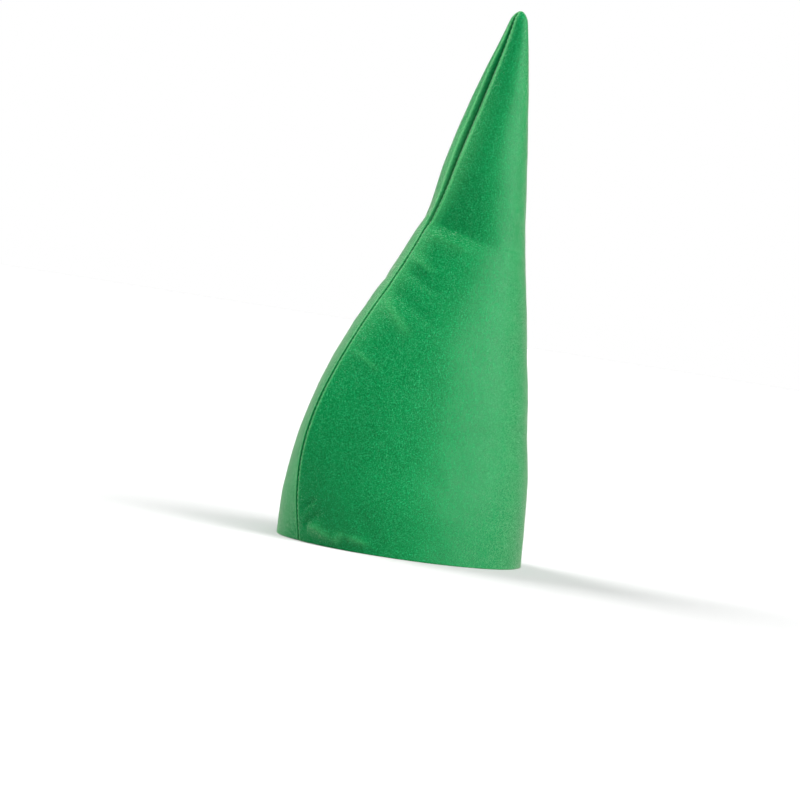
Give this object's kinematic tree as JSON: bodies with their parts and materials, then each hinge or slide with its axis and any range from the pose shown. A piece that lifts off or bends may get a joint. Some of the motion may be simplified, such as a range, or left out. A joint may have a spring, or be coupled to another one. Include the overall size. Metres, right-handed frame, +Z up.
{
  "type": "gnome hat",
  "caption": "Tall bent felt cone hat of two panels sewn along the front and the back, with a blunt tip, a raw cut rim and an open head hollow.",
  "frame": {"origin": "on the rim's plane, under the middle of the hat's bounding box", "axes": "+Z up from the rim to the tip, -Y towards the front seam, +X towards the wearer's left"},
  "size_m": [0.167, 0.2074, 0.414],
  "materials": {
    "felt": "matt fuzzy felt"
  },
  "bodies": {
    "root": {"panel_left": "felt", "panel_right": "felt"}
  },
  "joints": []
}
